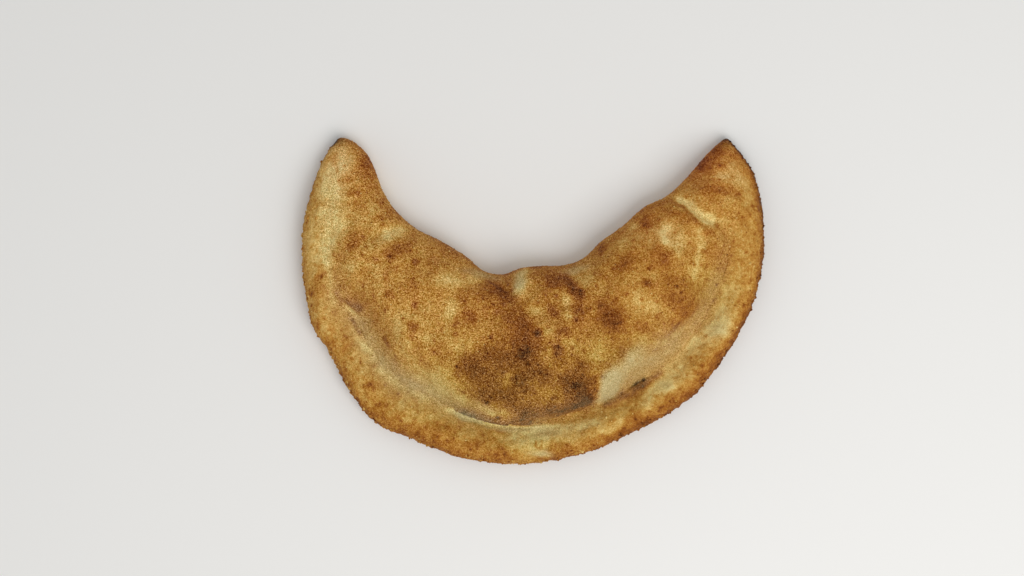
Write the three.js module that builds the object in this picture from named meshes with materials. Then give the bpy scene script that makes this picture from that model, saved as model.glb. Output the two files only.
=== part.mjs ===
// A calzone: a round of pizza dough folded over its filling into a crescent, with the open edge rolled up
// and pressed into a rim, baked until the top blistered. It is one piece of bread, so it is one solid.
//
// Millimetres, +Z up. It lies on its flat underside at z = 0, with the origin under the middle of its
// bounding box. Both horns point to +Y, the fold runs between them, and the rim follows the outer arc.
//
// The solid is a loft. Each section crosses the crescent from the fold to the outer edge as a closed ring
// of points: up round the fold, over the filled body, down into the crease, over the rim, round the outer
// edge and back under. The rings shrink to a single point at the tip of each horn.

import * as THREE from "three";

// ---- Outline, seen from above ----
const HUB = { x: 0, y: 31.5 }; // centre of the round that the outer edge follows
const EDGE_RADIUS = 109.8; // hub to outer edge, before the swells
const RIM_SWELLS = [
  // degrees anticlockwise round the hub from +X, spread in degrees, and how far the edge stands out
  { at: 160, spread: 14, out: -3.6 },
  { at: 200, spread: 11, out: 2.3 },
  { at: 228, spread: 12.5, out: 6.3 },
  { at: 249, spread: 8, out: 1.6 },
  { at: 296, spread: 22, out: -4.8 },
  { at: 329, spread: 11, out: -1.5 },
  { at: 380, spread: 8, out: -1.4 },
];
const STUCK_LUMP = { at: 204.3, spread: 1.8, out: 1.9 }; // a scrap of dough baked on to the edge
const ARC_FROM = 161; // the plain arc begins and ends here, just short of the horns, in degrees
const ARC_TO = 377;
const ARC_STEP = 6;
const LEFT_SHOULDER = [-95.2, 74.9];
const LEFT_TIP = [-91.8, 78.2];
const RIGHT_TIP = [92.3, 77.8];
const RIGHT_SHOULDER = [96, 74.3];
const FOLD = [
  // the folded side, from the right horn back to the left one
  [86.8, 73.8],
  [80.1, 67],
  [72, 57.8],
  [63, 49.8],
  [52.5, 44.6],
  [42, 35.4],
  [32.5, 28.6],
  [24, 20.6],
  [14.5, 17.2],
  [4, 16.9],
  [-5.5, 15.9],
  [-14.5, 12.9],
  [-23.5, 14.6],
  [-32.5, 21.9],
  [-44, 28.8],
  [-55, 34.4],
  [-64.5, 42.4],
  [-71, 52],
  [-74.6, 61.5],
  [-79, 70.1],
  [-85.6, 76.2],
];
const EDGE_RIPPLE = { size: 7, rise: 0.8, seed: 5 }; // small unevenness of the outer edge, in degrees and mm

// ---- Heights ----
const CROWN_HEIGHT = 38; // that a very wide section would puff up to
const CROWN_GROWTH = { width: 58, power: 1.6 }; // how the height grows with a section's width
const CAMBER = 0.17; // share of the height that the body loses from its middle to its two sides
const RIM_HEIGHT = 15.5;
const RIM_GROWTH = 14; // width of a section whose rim reaches about two thirds of that
const RIM_LUMPS = { size: 11, rise: 2, seed: 1 }; // unevenness along the rim, in degrees and mm
const RIM_ROUND = 0.4; // share of the rim's width in which its outer side rounds over
const VALLEY_HEIGHT = 9.5; // floor of the crease between body and rim, where it is deepest
const TIP_HEIGHT = 7; // height of the horns' ends, just behind where they round over
const TIP_ROUND = 9; // width of a section at which a horn's end has rounded over
const TIP_POINT = 1.5; // height of the last point of a horn
const GIRTH = 0.4; // share of the height at which the sides stand out furthest
const GIRTH_MAX = 10.5;
const FOLD_RADIUS = 27; // how far in the fold's rounded side reaches
const HORN_RADIUS = 24; // the same on the outer side, where a horn is one plain roll
const UNDER_FOLD = 9; // how far the underside curls up below the fold and below the rim
const UNDER_RIM = 6.5;
const MOST_OF_WIDTH = { crease: 0.4, slopes: 0.85, horn: 0.5, underFold: 0.3, underRim: 0.25 }; // when narrow

// ---- Crease and rim, by degrees round the hub ----
const CREASE_INSET = [
  // outer edge to crease
  [154, 9],
  [180, 13.5],
  [200, 17.5],
  [218, 22.5],
  [240, 22.5],
  [262, 18.5],
  [282, 20.5],
  [330, 20],
  [344, 21.5],
  [357, 24],
  [370, 22],
  [386, 10],
];
const CREASE_DEPTH = [
  // 0 where body and rim run together, 1 where the crease is deepest
  [160, 0],
  [180, 0.3],
  [200, 0.62],
  [225, 0.72],
  [240, 0.95],
  [300, 1],
  [332, 0.8],
  [350, 0.4],
  [364, 0],
];
const SHOULDER_WIDTH = [
  // how far the body takes to rise from the crease
  [160, 16],
  [200, 23],
  [228, 22],
  [248, 13],
  [270, 8.5],
  [288, 9.5],
  [302, 15],
  [330, 17],
  [360, 16],
  [386, 10],
];
const SHOULDER_SHARPNESS = [
  // 0 for an easy slope, 1 where the body stands up from the crease like a wall
  [200, 0.1],
  [238, 0.35],
  [258, 0.95],
  [292, 0.9],
  [305, 0.25],
  [386, 0],
];
const RUN_TOGETHER = [
  // 1 where body and rim are one plain roll, as in the horns, 0 where they are two forms
  [166, 1],
  [190, 0.6],
  [218, 0],
  [332, 0],
  [350, 0.5],
  [364, 1],
];

// ---- Blisters, dips and folds of the top: centre, half length, half width, turn in degrees, rise ----
const RELIEF = [
  { x: -7, y: -36, long: 27, wide: 13, turn: 0, rise: 3.4 }, // the large scorched blister
  { x: -28, y: -32, long: 9, wide: 8, turn: -30, rise: 1.4 },
  { x: 23, y: -42, long: 9, wide: 8, turn: 40, rise: 3.2 },
  { x: 6, y: -44, long: 8, wide: 5, turn: 10, rise: -1.2 },
  { x: -6, y: -12, long: 14, wide: 7, turn: -62, rise: 2.4 }, // a ridge from the notch down to the blister
  { x: -21, y: 1, long: 9, wide: 8, turn: -30, rise: 1.8 },
  { x: -13, y: 5, long: 9, wide: 2.6, turn: -42, rise: -3 }, // the wrinkle below the notch
  { x: -4, y: 10, long: 8, wide: 4, turn: 60, rise: 1.2 },
  { x: 16, y: 7, long: 12, wide: 5.5, turn: -14, rise: 2 },
  { x: 9, y: -4, long: 8, wide: 6, turn: 20, rise: -1.6 },
  { x: 37, y: -7, long: 9, wide: 7, turn: -50, rise: 2.6 },
  { x: 28, y: -22, long: 10, wide: 6, turn: -20, rise: -1.3 },
  { x: 52, y: -2, long: 8, wide: 5, turn: -35, rise: -1.8 },
  { x: 44, y: 22, long: 14, wide: 9, turn: 25, rise: 2 },
  { x: 62, y: 22, long: 9, wide: 7, turn: -35, rise: 2.2 },
  { x: 65, y: 31, long: 10, wide: 5.5, turn: -50, rise: -2.4 }, // the pale hollow before the right horn
  { x: 77, y: 19, long: 15, wide: 5, turn: 78, rise: -1.9 },
  { x: 77, y: 43.5, long: 14, wide: 3.8, turn: -36, rise: -2.9 }, // the fold across the right horn
  { x: 69, y: 41, long: 9, wide: 6, turn: -30, rise: 1.4 },
  { x: 87, y: 52, long: 10, wide: 7, turn: -10, rise: 2.2 },
  { x: 88, y: 24, long: 9, wide: 8, turn: 60, rise: 1.6 },
  { x: 70, y: 3, long: 10, wide: 7, turn: 50, rise: 1.8 },
  { x: 62, y: -27, long: 22, wide: 4.5, turn: 38, rise: 1.4 }, // the low swell beside the crease
  { x: -66, y: 23, long: 12, wide: 8, turn: -10, rise: 2 },
  { x: -86, y: 25, long: 8, wide: 8, turn: 0, rise: 1.4 },
  { x: -66, y: 33.5, long: 10, wide: 3, turn: 24, rise: -2 },
  { x: -41, y: -6, long: 5, wide: 8, turn: 0, rise: -1.6 },
  { x: -45, y: 12, long: 12, wide: 7, turn: 20, rise: 1.2 },
  { x: -57, y: -13, long: 7, wide: 6, turn: -40, rise: 1.3 },
  { x: -44, y: -25, long: 10, wide: 6, turn: -20, rise: 1.4 },
  { x: -75, y: 2, long: 10, wide: 7, turn: -60, rise: 1.2 },
  { x: -20, y: -53.2, long: 17, wide: 2.4, turn: -13, rise: 2.2 }, // the ledge of dough above the rim's lip
  { x: 44, y: -38, long: 14, wide: 3.2, turn: 34, rise: -1.6 },
  { x: 49.5, y: -38.3, long: 3.2, wide: 1.6, turn: 35, rise: -3.5 }, // the vent torn in the crease
];
const DOUGH_LUMPS = [
  // unevenness of three sizes, each turned so that no two line up
  { size: 19, rise: 1.3, turn: 24, seed: 3 },
  { size: 9, rise: 0.8, turn: 61, seed: 8 },
  { size: 5, rise: 0.35, turn: 40, seed: 11 },
];
const RELIEF_FADE = 9; // the relief dies out this near the outline

// ---- How finely it is cut ----
const STATIONS = 134;
const TIP_CROWDING = 0.3; // share of the stations that crowd towards the horns
const STEPS = { fold: 7, body: 10, shoulder: 5, lip: 4, rim: 6, under: 3, flat: 3 };

const radians = (degrees) => (degrees * Math.PI) / 180;
const mix = (a, b, share) => a + (b - a) * share;
const smooth = (x) => x * x * (3 - 2 * x);
const smoothstep = (from, to, x) => smooth(Math.min(1, Math.max(0, (x - from) / (to - from))));
const quarterRound = (x) => Math.sqrt(Math.max(0, 1 - (1 - Math.min(x, 1)) ** 2));

/** A value from -1 to 1 that belongs to one corner of the noise's grid. */
function cornerValue(column, row, seed) {
  const n = Math.sin(column * 127.1 + row * 311.7 + seed * 74.7) * 43758.5453;
  return 2 * (n - Math.floor(n)) - 1;
}

/** Smooth noise from -1 to 1 with one cell per unit. */
function noise(x, y, seed) {
  const column = Math.floor(x);
  const row = Math.floor(y);
  const across = smooth(x - column);
  const up = smooth(y - row);
  const low = mix(cornerValue(column, row, seed), cornerValue(column + 1, row, seed), across);
  const high = mix(cornerValue(column, row + 1, seed), cornerValue(column + 1, row + 1, seed), across);
  return mix(low, high, up);
}

const unevenness = (degrees, { size, rise, seed }) => rise * noise(degrees / size, 0.5, seed);

/** Reads a table of [degrees, value] with smooth steps between its entries. */
function alongRim(table, degrees) {
  if (degrees <= table[0][0]) return table[0][1];
  for (let i = 1; i < table.length; i++) {
    const [from, before] = table[i - 1];
    const [to, after] = table[i];
    if (degrees <= to) return mix(before, after, smoothstep(from, to, degrees));
  }
  return table[table.length - 1][1];
}

/** Degrees round the hub, from the left horn (about 154) anticlockwise to the right one (about 386). */
function degreesRoundHub(x, y) {
  const degrees = (Math.atan2(y - HUB.y, x - HUB.x) * 180) / Math.PI;
  return degrees < 90 ? degrees + 360 : degrees;
}

function outerEdge(degrees) {
  let radius = EDGE_RADIUS;
  for (const { at, spread, out } of [...RIM_SWELLS, STUCK_LUMP])
    radius += out * Math.exp(-(((degrees - at) / spread) ** 2));
  return [HUB.x + radius * Math.cos(radians(degrees)), HUB.y + radius * Math.sin(radians(degrees))];
}

/** The closed outline from the left tip, round the outer edge to the right tip, and back along the fold. */
function makeOutline() {
  const points = [LEFT_TIP, LEFT_SHOULDER];
  for (let degrees = ARC_FROM; degrees <= ARC_TO; degrees += ARC_STEP) points.push(outerEdge(degrees));
  points.push(RIGHT_SHOULDER, RIGHT_TIP);
  const rightTip = points.length - 1;
  points.push(...FOLD);
  const curve = new THREE.CatmullRomCurve3(
    points.map(([x, y]) => new THREE.Vector3(x, y, 0)),
    true,
    "catmullrom",
    0.5,
  );
  curve.arcLengthDivisions = 40 * points.length;
  const lengths = curve.getLengths();
  const outerShare = lengths[40 * rightTip] / lengths[lengths.length - 1];
  return {
    outer: (s) => curve.getPointAt(outerShare * s),
    fold: (s) => curve.getPointAt(1 - (1 - outerShare) * s),
  };
}

/** A place's distances along and across a direction. */
function turned(x, y, degrees) {
  const c = Math.cos(radians(degrees));
  const s = Math.sin(radians(degrees));
  return [x * c + y * s, y * c - x * s];
}

/** The bumps and hollows of the dough at a place on the top. */
function relief(x, y) {
  let z = 0;
  for (const { x: cx, y: cy, long, wide, turn, rise } of RELIEF) {
    const [along, across] = turned(x - cx, y - cy, turn);
    z += rise * Math.exp(-((along / long) ** 2 + (across / wide) ** 2));
  }
  for (const { size, rise, turn, seed } of DOUGH_LUMPS) {
    const [along, across] = turned(x, y, turn);
    z += rise * noise(along / size, across / size, seed);
  }
  return z;
}

/** What a section needs to know: its two ends, its width, and the sizes that follow from them. */
function section(s, outline) {
  const outer = outline.outer(s);
  const fold = outline.fold(s);
  const degrees = degreesRoundHub(outer.x, outer.y);
  const ripple = unevenness(degrees, EDGE_RIPPLE) * Math.sin(Math.PI * s);
  outer.addScaledVector(outer.clone().sub(fold).normalize(), ripple);
  const width = outer.distanceTo(fold);
  const swell = 1 - Math.exp(-((width / CROWN_GROWTH.width) ** CROWN_GROWTH.power));
  const ending = quarterRound(width / TIP_ROUND);
  const crown = ending * mix(TIP_HEIGHT, CROWN_HEIGHT, swell);
  const fullRim = RIM_HEIGHT + unevenness(degrees, RIM_LUMPS);
  const rim = Math.min(crown, mix(TIP_HEIGHT, fullRim, 1 - Math.exp(-width / RIM_GROWTH)));
  const crease = Math.min(alongRim(CREASE_INSET, degrees), MOST_OF_WIDTH.crease * width);
  const slopes = FOLD_RADIUS + alongRim(SHOULDER_WIDTH, degrees);
  const fit = Math.min(1, (MOST_OF_WIDTH.slopes * (width - crease)) / slopes);
  return {
    outer,
    fold,
    width,
    crown,
    rim,
    crease,
    rimRound: RIM_ROUND * crease,
    valley: mix(rim, Math.min(VALLEY_HEIGHT, rim), alongRim(CREASE_DEPTH, degrees)),
    foldRadius: FOLD_RADIUS * fit,
    shoulder: alongRim(SHOULDER_WIDTH, degrees) * fit,
    sharpness: alongRim(SHOULDER_SHARPNESS, degrees),
    together: alongRim(RUN_TOGETHER, degrees),
    hornRadius: Math.min(HORN_RADIUS, MOST_OF_WIDTH.horn * width),
    foldGirth: Math.min(GIRTH_MAX, GIRTH * crown),
    rimGirth: Math.min(GIRTH_MAX, GIRTH * rim),
    underFold: Math.min(UNDER_FOLD, MOST_OF_WIDTH.underFold * width),
    underRim: Math.min(UNDER_RIM, MOST_OF_WIDTH.underRim * width),
  };
}

/** The point of a section at a distance from its fold, at height z. */
function place(cut, fromFold, z) {
  const share = fromFold / cut.width;
  return [mix(cut.fold.x, cut.outer.x, share), mix(cut.fold.y, cut.outer.y, share), z];
}

/** The height of the filled body at a distance inside the crease. */
function bodyHeight(cut, fromCrease, fromFold) {
  const rise = Math.min(1, fromCrease / cut.shoulder);
  const wall = mix(smooth(rise), quarterRound(rise), cut.sharpness);
  const fromMiddle = (2 * fromFold) / (cut.width - cut.crease) - 1;
  return mix(cut.valley, cut.crown * (1 - CAMBER * fromMiddle * fromMiddle), wall);
}

/** The height of the rim at a distance inside the outer edge: a flat roll as wide as the crease is far in. */
function rimHeight(cut, fromEdge) {
  const rounded = quarterRound(fromEdge / cut.rimRound);
  const falling = Math.max(0, (fromEdge - cut.rimRound) / (cut.crease - cut.rimRound));
  return mix(mix(cut.rimGirth, cut.rim, rounded), cut.valley, smooth(falling));
}

/** The point on top of a section at a distance from its fold. */
function topPoint(cut, fromFold) {
  const fromEdge = cut.width - fromFold;
  const fromCrease = fromEdge - cut.crease;
  const twoForms = fromCrease > 0 ? bodyHeight(cut, fromCrease, fromFold) : rimHeight(cut, fromEdge);
  const plainRoll = mix(cut.rimGirth, cut.crown, quarterRound(fromEdge / cut.hornRadius));
  const foldShare = mix(cut.foldGirth, cut.crown, quarterRound(fromFold / cut.foldRadius)) / cut.crown;
  const z = foldShare * mix(twoForms, plainRoll, cut.together);
  const [x, y] = place(cut, fromFold, z);
  const fade = smoothstep(0, RELIEF_FADE, Math.min(fromFold, fromEdge));
  return [x, y, z + fade * relief(x, y)];
}

/** One closed ring: over the top from the fold to the outer edge, then back along the underside. */
function ringOf(cut) {
  const ring = [];
  const turn = (step, steps) => 1 - Math.cos((Math.PI / 2) * (step / steps));
  const over = (fromFold) => ring.push(topPoint(cut, fromFold));
  const crease = cut.width - cut.crease;
  const shoulder = crease - cut.shoulder;
  const crest = cut.width - cut.rimRound;
  for (let i = 0; i < STEPS.fold; i++) over(cut.foldRadius * turn(i, STEPS.fold));
  for (let i = 0; i < STEPS.body; i++) over(mix(cut.foldRadius, shoulder, i / STEPS.body));
  for (let i = STEPS.shoulder; i > 0; i--) over(crease - cut.shoulder * turn(i, STEPS.shoulder));
  for (let i = 0; i < STEPS.lip; i++) over(mix(crease, crest, i / STEPS.lip));
  for (let i = STEPS.rim; i >= 0; i--) over(cut.width - cut.rimRound * turn(i, STEPS.rim));
  for (let i = 1; i <= STEPS.under; i++) {
    const z = cut.rimGirth * (1 - Math.sin((Math.PI / 2) * (i / STEPS.under)));
    ring.push(place(cut, cut.width - cut.underRim * turn(i, STEPS.under), z));
  }
  for (let i = 1; i < STEPS.flat; i++)
    ring.push(place(cut, mix(cut.width - cut.underRim, cut.underFold, i / STEPS.flat), 0));
  for (let i = STEPS.under; i > 0; i--) {
    const z = cut.foldGirth * (1 - Math.sin((Math.PI / 2) * (i / STEPS.under)));
    ring.push(place(cut, cut.underFold * turn(i, STEPS.under), z));
  }
  return ring;
}

/** Where along the crescent the stations lie, from 0 to 1, both ends left out. */
function stationAt(index) {
  const even = index / STATIONS;
  const crowded = 0.5 - 0.5 * Math.cos(Math.PI * even);
  return mix(even, crowded, TIP_CROWDING);
}

/** Joins rings into a closed surface with one point at each end. */
function loft(rings, firstTip, lastTip) {
  const size = rings[0].length;
  const positions = [firstTip, ...rings.flat(), lastTip];
  const last = positions.length - 1;
  const at = (ring, point) => 1 + ring * size + (point % size);
  const triangles = [];
  for (let point = 0; point < size; point++) triangles.push(0, at(0, point + 1), at(0, point));
  for (let ring = 0; ring + 1 < rings.length; ring++)
    for (let point = 0; point < size; point++) {
      const corners = [at(ring, point), at(ring, point + 1), at(ring + 1, point + 1), at(ring + 1, point)];
      triangles.push(corners[0], corners[1], corners[2], corners[0], corners[2], corners[3]);
    }
  for (let point = 0; point < size; point++)
    triangles.push(last, at(rings.length - 1, point), at(rings.length - 1, point + 1));
  const geometry = new THREE.BufferGeometry();
  geometry.setAttribute("position", new THREE.Float32BufferAttribute(positions.flat(), 3));
  geometry.setIndex(triangles);
  return geometry;
}

function makeCalzone() {
  const outline = makeOutline();
  const rings = [];
  for (let i = 1; i < STATIONS; i++) rings.push(ringOf(section(stationAt(i), outline)));
  const tip = ([x, y]) => [x, y, TIP_POINT];
  const geometry = loft(rings, tip(LEFT_TIP), tip(RIGHT_TIP));
  geometry.computeBoundingBox();
  const middle = geometry.boundingBox.getCenter(new THREE.Vector3());
  geometry.translate(-middle.x, -middle.y, 0);
  geometry.computeVertexNormals();
  const crust = new THREE.MeshStandardMaterial({ color: 0xb58545, roughness: 0.75, metalness: 0 });
  const calzone = new THREE.Mesh(geometry, crust);
  calzone.name = "calzone";
  return calzone;
}

const part = new THREE.Group();
part.add(makeCalzone());
export default part;
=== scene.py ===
"""The looks of the calzone: the same loft as its solid, cut much finer, with the fine relief of the dough,
its baked colours with some painted light and shade, and the grains and crumbs that stick to it.

Sizes are in millimetres until a mesh is made. Places (x, y) are those of the loft before it is centred, the
same as in the solid's own source: +X to the right horn, +Y to the horns' tips. Degrees run anticlockwise
round HUB, from the left horn at about 154 to the right one at about 386.
"""

import itertools
import math
from types import SimpleNamespace

import bmesh
import bpy
import numpy as np
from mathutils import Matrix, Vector

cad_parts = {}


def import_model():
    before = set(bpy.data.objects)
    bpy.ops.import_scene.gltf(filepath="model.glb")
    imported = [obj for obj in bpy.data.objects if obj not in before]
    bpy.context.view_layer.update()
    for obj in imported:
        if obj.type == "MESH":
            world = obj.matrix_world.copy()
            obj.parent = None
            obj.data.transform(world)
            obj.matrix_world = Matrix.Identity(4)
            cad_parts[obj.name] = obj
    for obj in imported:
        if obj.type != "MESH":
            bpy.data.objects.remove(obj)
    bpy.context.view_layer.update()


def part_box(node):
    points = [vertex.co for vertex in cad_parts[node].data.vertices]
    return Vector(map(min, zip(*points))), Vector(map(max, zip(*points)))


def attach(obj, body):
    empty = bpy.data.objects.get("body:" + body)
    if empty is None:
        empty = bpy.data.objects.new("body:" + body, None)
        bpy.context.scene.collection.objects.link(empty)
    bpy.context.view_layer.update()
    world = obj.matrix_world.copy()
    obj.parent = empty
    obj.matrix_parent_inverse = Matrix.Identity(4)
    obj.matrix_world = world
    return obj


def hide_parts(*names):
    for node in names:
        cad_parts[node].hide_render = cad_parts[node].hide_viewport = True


MM = 0.001

# ---- Outline, as in the solid ----
HUB = (0, 31.5)
EDGE_RADIUS = 109.8
RIM_SWELLS = [  # degrees, spread, out
    (160, 14, -3.6), (200, 11, 2.3), (228, 12.5, 6.3), (249, 8, 1.6), (296, 22, -4.8), (329, 11, -1.5),
    (380, 8, -1.4),
]
STUCK_LUMP = (204.3, 1.8, 1.9)
ARC_DEGREES = range(161, 378, 6)
LEFT_SHOULDER, LEFT_TIP = (-95.2, 74.9), (-91.8, 78.2)
RIGHT_TIP, RIGHT_SHOULDER = (92.3, 77.8), (96, 74.3)
FOLD = [
    (86.8, 73.8), (80.1, 67), (72, 57.8), (63, 49.8), (52.5, 44.6), (42, 35.4), (32.5, 28.6),
    (24, 20.6), (14.5, 17.2), (4, 16.9), (-5.5, 15.9), (-14.5, 12.9), (-23.5, 14.6), (-32.5, 21.9),
    (-44, 28.8), (-55, 34.4), (-64.5, 42.4), (-71, 52), (-74.6, 61.5), (-79, 70.1), (-85.6, 76.2),
]
EDGE_RIPPLE = (7, 0.8, 5)  # size in degrees, rise, seed

# ---- Heights, as in the solid ----
CROWN_HEIGHT = 38
CROWN_WIDTH, CROWN_POWER = 58, 1.6
CAMBER = 0.17
RIM_HEIGHT = 15.5
RIM_GROWTH = 14
RIM_LUMPS = (11, 2, 1)
RIM_ROUND = 0.4
VALLEY_HEIGHT = 9.5
TIP_HEIGHT = 7
TIP_ROUND = 9
TIP_POINT = 1.5
GIRTH, GIRTH_MAX = 0.4, 10.5
FOLD_RADIUS = 27
HORN_RADIUS = 24
UNDER_FOLD, UNDER_RIM = 9, 6.5
MOST_OF_WIDTH = SimpleNamespace(crease=0.4, slopes=0.85, horn=0.5, under_fold=0.3, under_rim=0.25)
RELIEF_FADE = 9

# ---- Crease and rim by degrees, as in the solid ----
CREASE_INSET = [
    (154, 9), (180, 13.5), (200, 17.5), (218, 22.5), (240, 22.5), (262, 18.5), (282, 20.5), (330, 20),
    (344, 21.5), (357, 24), (370, 22), (386, 10),
]
CREASE_DEPTH = [
    (160, 0), (180, 0.3), (200, 0.62), (225, 0.72), (240, 0.95), (300, 1), (332, 0.8), (350, 0.4), (364, 0),
]
SHOULDER_WIDTH = [
    (160, 16), (200, 23), (228, 22), (248, 13), (270, 8.5), (288, 9.5), (302, 15), (330, 17), (360, 16),
    (386, 10),
]
SHOULDER_SHARPNESS = [(200, 0.1), (238, 0.35), (258, 0.95), (292, 0.9), (305, 0.25), (386, 0)]
RUN_TOGETHER = [(166, 1), (190, 0.6), (218, 0), (332, 0), (350, 0.5), (364, 1)]

# ---- Blisters, dips and folds, as in the solid: x, y, half length, half width, turn, rise ----
RELIEF = [
    (-7, -36, 27, 13, 0, 3.4), (-28, -32, 9, 8, -30, 1.4), (23, -42, 9, 8, 40, 3.2), (6, -44, 8, 5, 10, -1.2),
    (-6, -12, 14, 7, -62, 2.4), (-21, 1, 9, 8, -30, 1.8), (-13, 5, 9, 2.6, -42, -3), (-4, 10, 8, 4, 60, 1.2),
    (16, 7, 12, 5.5, -14, 2), (9, -4, 8, 6, 20, -1.6), (37, -7, 9, 7, -50, 2.6), (28, -22, 10, 6, -20, -1.3),
    (52, -2, 8, 5, -35, -1.8), (44, 22, 14, 9, 25, 2), (62, 22, 9, 7, -35, 2.2), (65, 31, 10, 5.5, -50, -2.4),
    (77, 19, 15, 5, 78, -1.9), (77, 43.5, 14, 3.8, -36, -2.9), (69, 41, 9, 6, -30, 1.4),
    (87, 52, 10, 7, -10, 2.2), (88, 24, 9, 8, 60, 1.6), (70, 3, 10, 7, 50, 1.8), (62, -27, 22, 4.5, 38, 1.4),
    (-66, 23, 12, 8, -10, 2), (-86, 25, 8, 8, 0, 1.4), (-66, 33.5, 10, 3, 24, -2), (-41, -6, 5, 8, 0, -1.6),
    (-45, 12, 12, 7, 20, 1.2), (-57, -13, 7, 6, -40, 1.3), (-44, -25, 10, 6, -20, 1.4),
    (-75, 2, 10, 7, -60, 1.2), (-20, -53.2, 17, 2.4, -13, 2.2), (44, -38, 14, 3.2, 34, -1.6),
    (49.5, -38.3, 3.2, 1.6, 35, -3.5),
]
DOUGH_LUMPS = [(19, 1.3, 24, 3), (9, 0.8, 61, 8), (5, 0.35, 40, 11)]  # size, rise, turn, seed

# ---- How finely the surface is cut ----
STATIONS = 640
TIP_CROWDING = 0.15
STEPS = SimpleNamespace(fold=84, body=60, shoulder=60, lip=22, rim=30, under=12, flat=14)
CURVE_STEPS = 160  # of the outline, between two of its points

# ---- Fine relief that only the visible surface has ----
SKIN = [(4.6, 0.22, 21), (2.4, 0.12, 22)]  # size, rise and seed of the skin's soft unevenness
GRAIN = [(1.5, 0.1, 31), (0.95, 0.08, 32)]  # the same of its sandy grain
EDGE_CRUMBLE = [(2.1, 0.4, 41), (1.2, 0.3, 42)]  # the same of the broken outer edge
EDGE_CRUMBLE_DEPTH = 4  # how far in from the edge it reaches
SKIN_AT_EDGES, GRAIN_UNDER_FLOUR = 0.3, 0.35  # the share that is left there
BUBBLES = SimpleNamespace(count=420, radius=(0.9, 2.3), rise=(0.12, 0.42), off_rim=0.25, seed=51)
PORES = SimpleNamespace(count=260, radius=(0.5, 0.9), rise=(-0.32, -0.12), off_rim=0.3, seed=52)
BUMP_REACH, BUMP_FALL = 16, 1.6  # in points of the grid, and how fast a bump falls off
RIM_FADE = SimpleNamespace(relief=(-4, 1), toast=(-5, 2), grit=(-5, 1))  # past the crease, from rim to body
FINE_WIDTHS = (1, 12)  # the fine relief starts where the crust is this wide
STREAKS = SimpleNamespace(across=1.1, along=9, rise=0.16, seed=61)  # fine stretch marks in the floury crease
# grooves and ridges along a line: its points, half width, rise
DRAWN_RELIEF = [
    # the gap above the lip, and the lip
    ([(-36, -50.2), (-32, -51.8), (-26.3, -54), (-20, -55.7), (-12, -57.1)], 0.9, -2.1),
    ([(-9.5, -57.6), (-2, -57.8)], 0.9, -1),
    ([(-38, -52.3), (-32.5, -54.4), (-26.5, -56.5), (-20, -58.2), (-13, -59.1), (-2, -59.7)], 1.4, 1),
    ([(-1, -62.3), (5, -61.4), (11, -60.2)], 2, 0.7),  # the swelling that follows it on the right
    ([(-21, 8), (-15, 4.5), (-9, 1)], 0.8, -0.7),  # the sharp bottom of the wrinkle below the notch
    ([(69, 49.2), (73.5, 47), (77.5, 43.2), (80.5, 40.7), (87, 38.3)], 2, 1.7),  # the fold on the right horn
    ([(66, 45.5), (70.5, 42.8), (74.5, 39.3), (78, 36), (81.5, 33.5)], 1.8, -1),
    ([(-87.5, 0), (-84.5, -3.5), (-80, -6)], 1.5, -1),  # the folds in the left crease
    ([(-89.5, -1.5), (-87, -4), (-85, -6.5), (-82, -8), (-78, -9)], 1.2, 0.8),
    ([(-86, -9), (-84, -12.5), (-81.5, -16.5), (-77, -21)], 1.2, -0.9),
    ([(-86, -14), (-82, -18.5), (-78, -23), (-72, -29.5), (-64, -37)], 1.9, 0.5),
    ([(-70.5, -17.5), (-67, -22), (-62, -28)], 0.9, -0.5),
    ([(34, -49.3), (40.2, -46.4), (45.5, -43), (51, -39.3), (56, -36.3)], 1.1, -0.7),
    ([(62.5, -19.5), (68, -16.2), (72.5, -12)], 1, 0.5),
]
VENT = [(48.8, -38.7, 2.3, 1.1, -1.2, 32), (52.4, -36.7, 1.2, 0.8, -1, 30)]  # x, y, half sizes, rise, turn
# char here is how sharp the painted shade in the vent's holes is
VENT_SHARPNESS = SimpleNamespace(relief=1.6, char=2)
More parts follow.
